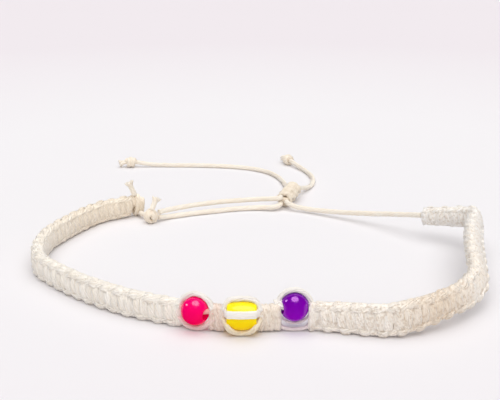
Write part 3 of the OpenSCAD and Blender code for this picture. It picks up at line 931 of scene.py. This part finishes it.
for name, (start, end, *size) in closing["knots"].items():
    coil = overhandBundle(start, end, *size)
    _, core = routeBundle(np.linspace(start, end, 14))
    bundlePiece(name + "_cords", [coil, core], flossMaterial, name)

for name, ends in closing["stubs"].items():
    start, end = np.array(ends)
    root = start - closing["stubRoot"] * (end - start)
    line = np.linspace(root, end, 12) - loopMiddle
    half = closing["stubHalf"]
    bundle = strandBundle(line, np.tile([0.0, -1.0, 0.0], (len(line), 1)), half, half, closing["cord"],
        closing["stubFray"])
    bundlePiece(name + "_strands", [bundle], cordMaterial, name)

slidingKnot = {
    "ends": [[6.6, 56.7, 1.55], [9.1, 64.5, 2.05]],
    "wide": 3.4,
    "high": 3.2,
    "knots": 3,
    "ringsPerKnot": 40,
    "halfWide": 0.64,
    "half": 0.46,
    "inset": 0.07,  # share of the length that the knots leave free at each end
    "clear": 0.04,  # share of the length that no cord enters there
    "bump": 0.4,  # as in the band: side loops, bends and bars, as shares of the half height
    "tuck": -0.3,
    "coreShifts": (-0.55, 0.0, 0.55),
    "coreHalf": (0.45, 0.5),
}


def slidingBundles(settings):
    # Three square knots round the closing cords, as in the band but round a straight line
    a, b = (np.asarray(p) - loopMiddle for p in settings["ends"])
    knots, half, inset = settings["knots"], settings["half"], settings["inset"]
    wide, high = settings["wide"] / 2 - half, settings["high"] / 2 - half
    bundles = []
    for back in (False, True):
        t = np.linspace(0, knots, settings["ringsPerKnot"] * knots + 1)
        swing, fullness, crossing, ahead = knotCourse(t, knots, back)
        f = np.clip(inset + (1 - 2 * inset) * (t + ahead) / knots, settings["clear"], 1 - settings["clear"])
        line = a + (b - a) * f[:, None]
        side, up = crossWays(a + (b - a) * np.linspace(0, 1, len(t))[:, None])
        atEdge, inBar = (settings["bump"], -1) if back else (settings["tuck"], 1)
        v = high * (atEdge + (inBar - atEdge) * crossing)
        path = line + (wide * swing * fullness)[:, None] * side + v[:, None] * up
        across, out = knotLie(swing, crossing, back)
        lie = across[:, None] * side + out[:, None] * up
        bundles.append(strandBundle(path, lie, settings["halfWide"], half, flossCord))
    path = np.linspace(a, b, 20)
    side, up = crossWays(path)
    for shift in settings["coreShifts"]:
        bundles.append(strandBundle(path + shift * side, up, *settings["coreHalf"], coreCord))
    return bundles


bundlePiece("sliding_knot_cords", slidingBundles(slidingKnot), flossMaterial, "sliding_knot")

for side in ("left", "right"):
    points = closing["tails"][side] + closing["tips"][side]
    path, bundle = routeBundle(points, closing["tailFray"])
    name = "tail_cord_" + side
    piece = bundlePiece(name + "_strands", [bundle], cordMaterial, name)
print("closing cords and knots made")

studio = {
    "floorSize": 6000,
    "floorColours": ("#EBEAED", "#E6E1E6"),  # by the bracelet and far from it
    "floorMiddle": (0, 60, 0),
    "floorFade": (70, 240),  # mm from that place between which the one goes over into the other
    "skyColour": "#FFFFFF",
    "skyStrength": 0.36,
    # a soft lamp is a disc in the sky: the way to it, its width in degrees and its light. The mirrored ones
    # show in the polished beads only, the others light the cords and the board
    "lamps": {
        "overhead": {"toLamp": (0.04, -0.08, 0.97), "width": 85, "strength": 2.05, "colour": "#FFFCFA",
            "mirrored": False},
        "softbox": {"toLamp": (0.04, -0.08, 0.97), "width": 48, "strength": 2.6, "colour": "#FFFCFA",
            "mirrored": True},
        "window": {"toLamp": (-0.8, 0.2, 0.52), "width": 13, "strength": 0.42, "colour": "#FFFFFF",
            "mirrored": True},
        "front": {"toLamp": (0.1, -0.85, 0.5), "width": 80, "strength": 0.7, "colour": "#FFFDFC",
            "mirrored": False},
    },
}


def makeFloor(settings):
    # Plain card: no gloss, and a little greyer away from the lamps
    material, tree = newMaterial("matt_white_board")
    place = addNode(tree, "TexCoord", {})
    middle = tuple(v * mm for v in settings["floorMiddle"])
    away = addNode(tree, "VectorMath", {"operation": "DISTANCE", 1: middle},
        [(0, place.outputs["Object"])])
    near, far = settings["floorFade"]
    share = addNode(tree, "MapRange", {"From Min": near * mm, "From Max": far * mm},
        [("Value", away.outputs["Value"])])
    inner, outer = settings["floorColours"]
    colour = addNode(tree, "Mix",
        {"data_type": "RGBA", 6: linearColour(inner), 7: linearColour(outer)},
        [(0, share.outputs["Result"])])
    shader = addNode(tree, "BsdfPrincipled", {"Roughness": 0.7, "Specular IOR Level": 0.0},
        [("Base Color", colour.outputs[2])])
    addNode(tree, "OutputMaterial", {}, [("Surface", shader.outputs["BSDF"])])
    half = settings["floorSize"] / 2
    corners = [[-half, -half, 0], [half, -half, 0], [half, half, 0], [-half, half, 0]]
    floor = putMesh("floor", corners, np.array([4]), np.arange(4), material)
    floor.visible_glossy = False  # no mirrored board in the polished beads


def lightStudio(settings):
    world = bpy.data.worlds.new("studio")
    bpy.context.scene.world = world
    world.use_nodes = True
    world.node_tree.nodes.clear()
    sky = addNode(world.node_tree, "Background",
        {"Color": linearColour(settings["skyColour"]), "Strength": settings["skyStrength"]})
    addNode(world.node_tree, "OutputWorld", {}, [("Surface", sky.outputs["Background"])])
    for name, lamp in settings["lamps"].items():
        data = bpy.data.lights.new(name, "SUN")
        data.angle = math.radians(lamp["width"])
        data.energy = lamp["strength"]
        data.color = linearColour(lamp["colour"])[:3]
        light = bpy.data.objects.new(name, data)
        x, y, z = lamp["toLamp"]
        light.rotation_euler = (math.atan2(math.hypot(x, y), z), 0, math.atan2(x, -y))
        light.visible_glossy = lamp["mirrored"]
        light.visible_diffuse = not lamp["mirrored"]
        bpy.context.scene.collection.objects.link(light)
    world.cycles_visibility.glossy = False  # the room round the lamps is dark in the beads' gloss
    bpy.context.scene.view_settings.view_transform = "Standard"
    bpy.context.scene.cycles.diffuse_bounces = 8  # light goes far between the white strands


makeFloor(studio)
lightStudio(studio)
print("studio lit")
